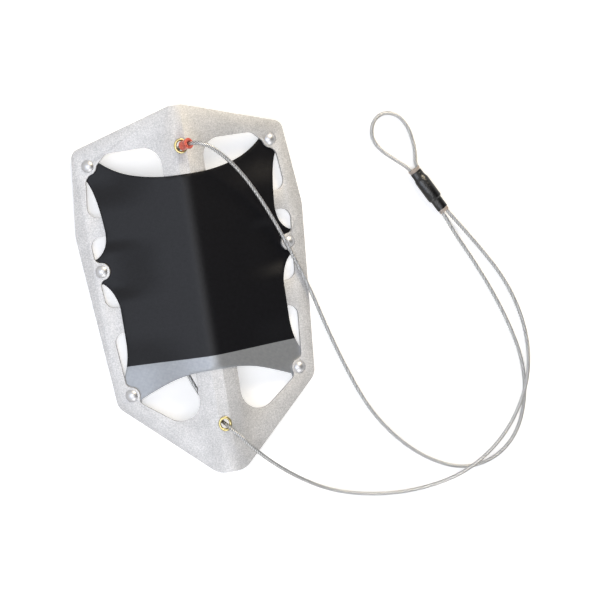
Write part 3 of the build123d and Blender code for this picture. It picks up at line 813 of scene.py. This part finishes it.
def is_inside(across, down):
    """Whether a place lies inside the cut: a line to one side crosses the outline an odd number of times."""
    odd = False
    for (first_across, first_down), (next_across, next_down) in zip(outline, outline[1:] + outline[:1]):
        if (first_down > down) != (next_down > down):
            share = (down - first_down) / (next_down - first_down)
            odd ^= across < first_across + share * (next_across - first_across)
    return odd


def edge_gap(across, down):
    """Distance from a place to the nearest point of the outline."""
    return min(hypot(across - place[0], down - place[1]) for place in outline)


spots = [Vector(place) for place in outline]
columns = int(net_half_width / net_step)
for row in range(int(net_length / net_step)):
    down = net_top + row * net_step
    for column in range(-columns, columns + 1):
        across = (column + 0.5 * (row % 2)) * net_step
        if is_inside(across, down) and edge_gap(across, down) > edge_clearance:
            spots.append(Vector((across, down)))
border = [(place, (place + 1) % len(outline)) for place in range(len(outline))]
only_inside, same_point = 1, 0.0001
net = delaunay_2d_cdt(spots, border, [], only_inside, same_point)
net_points, net_faces = net[0], net[2]
print("net points:", len(net_points), "triangles:", len(net_faces))

# %% Height of the panel over and under the plate
behind_rim, over_brace = -3.05, 0.1
upper_reach, middle_reach, lower_reach = 63.99, 70.07, 57.02
# Down the wing, how far out the slope ends, and how high the underside is past it
panel_stations = [
    (24.0, upper_reach, behind_rim), (47.9, upper_reach, behind_rim), (75.9, upper_reach, over_brace),
    (94.9, middle_reach, over_brace), (109.15, middle_reach, behind_rim), (131.95, middle_reach, behind_rim),
    (149.0, middle_reach, over_brace), (173.2, lower_reach, over_brace), (206.0, lower_reach, behind_rim),
    (237.2, lower_reach, behind_rim),
]
slope_length = 42.0
# Slight ridges round a rivet: where they start and end, and over what length they rise and fade
ridge_height = 0.05
ridges_round = 9
ridges_from, ridges_to = 8.0, 42.0
ridges_rise, ridges_fade = 8.0, 30.0
calm_middle, calm_fade = 30.0, 20.0


def eased(share):
    """A share from 0 to 1 that starts and ends gently."""
    share = min(max(share, 0.0), 1.0)
    return share * share * (3 - 2 * share)


def panel_height(out, down):
    """Height of the panel's underside off the wing's upper face, in mm."""
    for (down_a, end_a, low_a), (down_b, end_b, low_b) in zip(panel_stations, panel_stations[1:]):
        if down <= down_b:
            break
    share = eased((down - down_a) / (down_b - down_a))
    slope_end = end_a + (end_b - end_a) * share
    low = low_a + (low_b - low_a) * share
    return cloth_lift + (low - cloth_lift) * eased((out - slope_end + slope_length) / slope_length)


def tension_lines(out, down):
    """Slight ridges that fan out from the rivets, where the panel is pulled."""
    raised = 0.0
    for rivet_out, rivet_down in rivet_places.values():
        away = hypot(out - rivet_out, down - rivet_down)
        bearing = atan2(down - rivet_down, out - rivet_out)
        fade = eased((away - ridges_from) / ridges_rise) * eased((ridges_to - away) / ridges_fade)
        raised += ridge_height * cos(ridges_round * bearing) * fade
    return raised


panel_places = []
for spot in net_points:
    out = max(abs(spot.x) - half_arc, 0.0) + flat_start
    ridges = tension_lines(out, spot.y) * eased((out - calm_middle) / calm_fade)
    height = panel_height(out, spot.y) + ridges + cloth_thickness
    panel_places.append(on_plate(spot.x, spot.y, height) * mm)
panel_mesh = bpy.data.meshes.new("stretched_panel")
panel_mesh.from_pydata(panel_places, [], net_faces)
cut_layer = panel_mesh.uv_layers.new(name="cut")
for loop, entry in zip(panel_mesh.loops, cut_layer.data):
    entry.uv = (net_points[loop.vertex_index].x * mm, net_points[loop.vertex_index].y * mm)
panel = bpy.data.objects.new("stretched_panel", panel_mesh)
bpy.context.collection.objects.link(panel)
pick(panel)
bpy.ops.object.mode_set(mode="EDIT")
bpy.ops.mesh.select_all(action="SELECT")
bpy.ops.mesh.normals_make_consistent(inside=False)
bpy.ops.object.mode_set(mode="OBJECT")
if panel_mesh.polygons[0].normal.z < 0:
    panel_mesh.flip_normals()
wall = panel.modifiers.new("coating and cloth", "SOLIDIFY")
wall.thickness = cloth_thickness * mm
wall.offset = -1.0
bpy.ops.object.modifier_apply(modifier="coating and cloth")
cut_edge = panel.modifiers.new("cut edge", "BEVEL")
cut_edge.width = 0.18 * mm
cut_edge.segments = 2
cut_edge.limit_method = "ANGLE"
cut_edge.angle_limit = radians(50)
bpy.ops.object.modifier_apply(modifier="cut edge")
bpy.ops.object.shade_smooth_by_angle(angle=radians(40))

# %% [markdown]
# ## Coated fabric
#
# The cloth is a plain weave under a thin black rubber coating. The coating fills
# most of the weave, so what shows is a soft, dark satin with a faint grid. A
# silver-grey band is printed along the lower edge. The weave and the band follow
# the flat cut, so they read the UV map, which holds the cut's own measures in
# metres. Threads are really 0.5 mm apart, and are drawn at 1.2 mm to show.

# %% Coated fabric material
thread_mm = 1.2
weave_scale = per_metre(thread_mm) / pi  # a wave repeats about pi times in a unit of its scale
band_start_mm = 199.0
band_blur_mm = 0.15
coated, tree, shader = new_material("rubber coated woven nylon")
cut_map = add_node(tree, "ShaderNodeUVMap", {"uv_map": "cut"}).outputs["UV"]
cut_axes = add_node(tree, "ShaderNodeSeparateXYZ", Vector=cut_map)
warp, weft = [add_node(tree, "ShaderNodeTexWave", {"wave_type": "BANDS", "bands_direction": direction},
                       Vector=cut_map, Scale=weave_scale, Distortion=0.6, Detail=1.0)
              for direction in ("X", "Y")]
weave = add_node(tree, "ShaderNodeMath", {"operation": "MULTIPLY"}, _0=warp.outputs["Fac"],
                 _1=weft.outputs["Fac"])
mottle = add_node(tree, "ShaderNodeTexNoise", Vector=cut_map, Scale=per_metre(3.0), Detail=4.0)
tone_share = add_node(tree, "ShaderNodeMath", {"operation": "MULTIPLY_ADD"}, _0=weave.outputs[0], _1=0.45,
                      _2=mottle.outputs["Fac"])
black_tone = blended(tree, tone_share.outputs[0], "#030305", "#121216")
silver_tone = blended(tree, tone_share.outputs[0], "#898C90", "#A0A3A7")
band = add_node(tree, "ShaderNodeMapRange", Value=cut_axes.outputs["Y"],
                From_Min=(band_start_mm - band_blur_mm) * mm, From_Max=(band_start_mm + band_blur_mm) * mm)
face_tone = blended(tree, band.outputs["Result"], black_tone, silver_tone)
tree.links.new(face_tone, shader.inputs["Base Color"])
weave_bump = add_node(tree, "ShaderNodeBump", Strength=0.45, Distance=0.1 * mm, Height=tone_share.outputs[0])
tree.links.new(weave_bump.outputs["Normal"], shader.inputs["Normal"])
band_gloss = add_node(tree, "ShaderNodeMath", {"operation": "MULTIPLY"}, _0=band.outputs["Result"], _1=0.45)
tree.links.new(band_gloss.outputs[0], shader.inputs["Metallic"])
set_evenly(shader, Roughness=0.38, Specular_IOR_Level=0.22)
finish_piece(panel, coated, "fabric", "fabric_panel")

# %% [markdown]
# ## Floor, light and finish
#
# The photograph is cut out on plain white. Here the floor and the world look
# white to the camera, while the light that reaches the object stays at a plain
# level. The floor glows a little for the camera and less in reflections, or the
# rope and the brass would burn out above it. A large cool lamp stands to the
# left, where the left wing mirrors it toward the camera: that is why the left
# wing looks cooler and the black fabric there looks grey. A smaller warm lamp
# lights the right wing, a pale one overhead catches the fold, and a low one in
# front reaches the edges. A dark flag hangs where the right wing would mirror
# the room, so the fabric stays black there. It is part of the world, and only
# reflections show it.

# %% Pale floor
floor_size, floor_height = 8.0, -0.5 * mm
bpy.ops.object.select_all(action="DESELECT")
bpy.ops.mesh.primitive_plane_add(size=floor_size, location=(0, 0, floor_height))
floor = bpy.context.object
floor.name = "pale_floor"
floor_paint, tree, shader = new_material("pale floor")
output = next(node for node in tree.nodes if node.type == "OUTPUT_MATERIAL")
tree.nodes.remove(shader)
rays = add_node(tree, "ShaderNodeLightPath")
seen_through = add_node(tree, "ShaderNodeMath", {"operation": "MAXIMUM"}, _0=rays.outputs["Is Glossy Ray"],
                        _1=rays.outputs["Is Transmission Ray"])
camera_glow, mirrored_glow = 0.50, 0.25
mirrored = add_node(tree, "ShaderNodeMath", {"operation": "MULTIPLY"}, _0=seen_through.outputs[0],
                    _1=mirrored_glow)
lifted = add_node(tree, "ShaderNodeMath", {"operation": "MULTIPLY_ADD"}, _0=rays.outputs["Is Camera Ray"],
                  _1=camera_glow, _2=mirrored.outputs[0])
white_paint = add_node(tree, "ShaderNodeBsdfDiffuse", Color=linear("#E8E8E8"))
white_glow = add_node(tree, "ShaderNodeEmission", Strength=lifted.outputs[0])
floor_mix = add_node(tree, "ShaderNodeAddShader", _0=white_paint.outputs[0], _1=white_glow.outputs[0])
tree.links.new(floor_mix.outputs[0], output.inputs["Surface"])
floor.data.materials.append(floor_paint)

# %% White world with a dark flag
room_light = 0.22
flag_core, flag_edge, flag_tone = radians(20), radians(34), 0.05
flag_way = Vector((0.70, -0.08, 0.71)).normalized()
world = bpy.data.worlds.new("white_room")
bpy.context.scene.world = world
world.use_nodes = True
tree = world.node_tree
tree.nodes.clear()
rays = add_node(tree, "ShaderNodeLightPath")
seen = add_node(tree, "ShaderNodeMath", {"operation": "MAXIMUM"}, _0=rays.outputs["Is Camera Ray"],
                _1=rays.outputs["Is Glossy Ray"])
seen_through = add_node(tree, "ShaderNodeMath", {"operation": "MAXIMUM"}, _0=seen.outputs[0],
                        _1=rays.outputs["Is Transmission Ray"])
toward = add_node(tree, "ShaderNodeTexCoord").outputs["Generated"]
flag_share = add_node(tree, "ShaderNodeVectorMath", {"operation": "DOT_PRODUCT"}, _0=toward, _1=flag_way)
room = add_node(tree, "ShaderNodeMapRange", {"interpolation_type": "SMOOTHSTEP"},
                Value=flag_share.outputs["Value"], From_Min=cos(flag_edge), From_Max=cos(flag_core),
                To_Min=1.0, To_Max=flag_tone)
unseen = add_node(tree, "ShaderNodeMath", {"operation": "MAXIMUM"}, _0=rays.outputs["Is Camera Ray"],
                  _1=room.outputs["Result"])
world_strength = add_node(tree, "ShaderNodeMapRange", Value=seen_through.outputs[0], To_Min=room_light,
                          To_Max=unseen.outputs[0])
sky = add_node(tree, "ShaderNodeBackground", Color=linear("#FFFFFF"),
               Strength=world_strength.outputs["Result"])
add_node(tree, "ShaderNodeOutputWorld", Surface=sky.outputs["Background"])
print("floor height in mm:", floor_height / mm, "light of the room:", room_light)

# %% Lamps
lamp_aim = Vector((0.08, 0.0, 0.02))


def soft_lamp(name, direction, distance, size, radiance, colour):
    """A square lamp that faces the object, with its power worked out from its brightness."""
    data = bpy.data.lights.new(name, "AREA")
    data.size = size
    data.energy = radiance * pi * size * size
    data.color = linear(colour)[:3]
    lamp = bpy.data.objects.new(name, data)
    away = Vector(direction).normalized()
    lamp.location = lamp_aim + away * distance
    lamp.rotation_euler = away.to_track_quat("Z", "Y").to_euler()
    bpy.context.collection.objects.link(lamp)
    return lamp


# Direction, distance and size in metres, brightness, colour
lamps = [
    soft_lamp("left_softbox", (-0.52, -0.07, 0.85), 1.6, 1.00, 2.2, "#DFEAFF"),
    soft_lamp("right_softbox", (0.42, 0.72, 0.62), 1.2, 0.50, 11.8, "#FFEECE"),
    soft_lamp("top_softbox", (-0.16, -0.12, 0.98), 2.0, 1.10, 1.9, "#FBFBFF"),
    soft_lamp("front_softbox", (0.0, -0.85, 0.50), 1.5, 0.80, 3.1, "#FFFFFF"),
]
bpy.context.scene.view_settings.view_transform = "Standard"
print("lamp powers:", [round(lamp.data.energy, 1) for lamp in lamps])
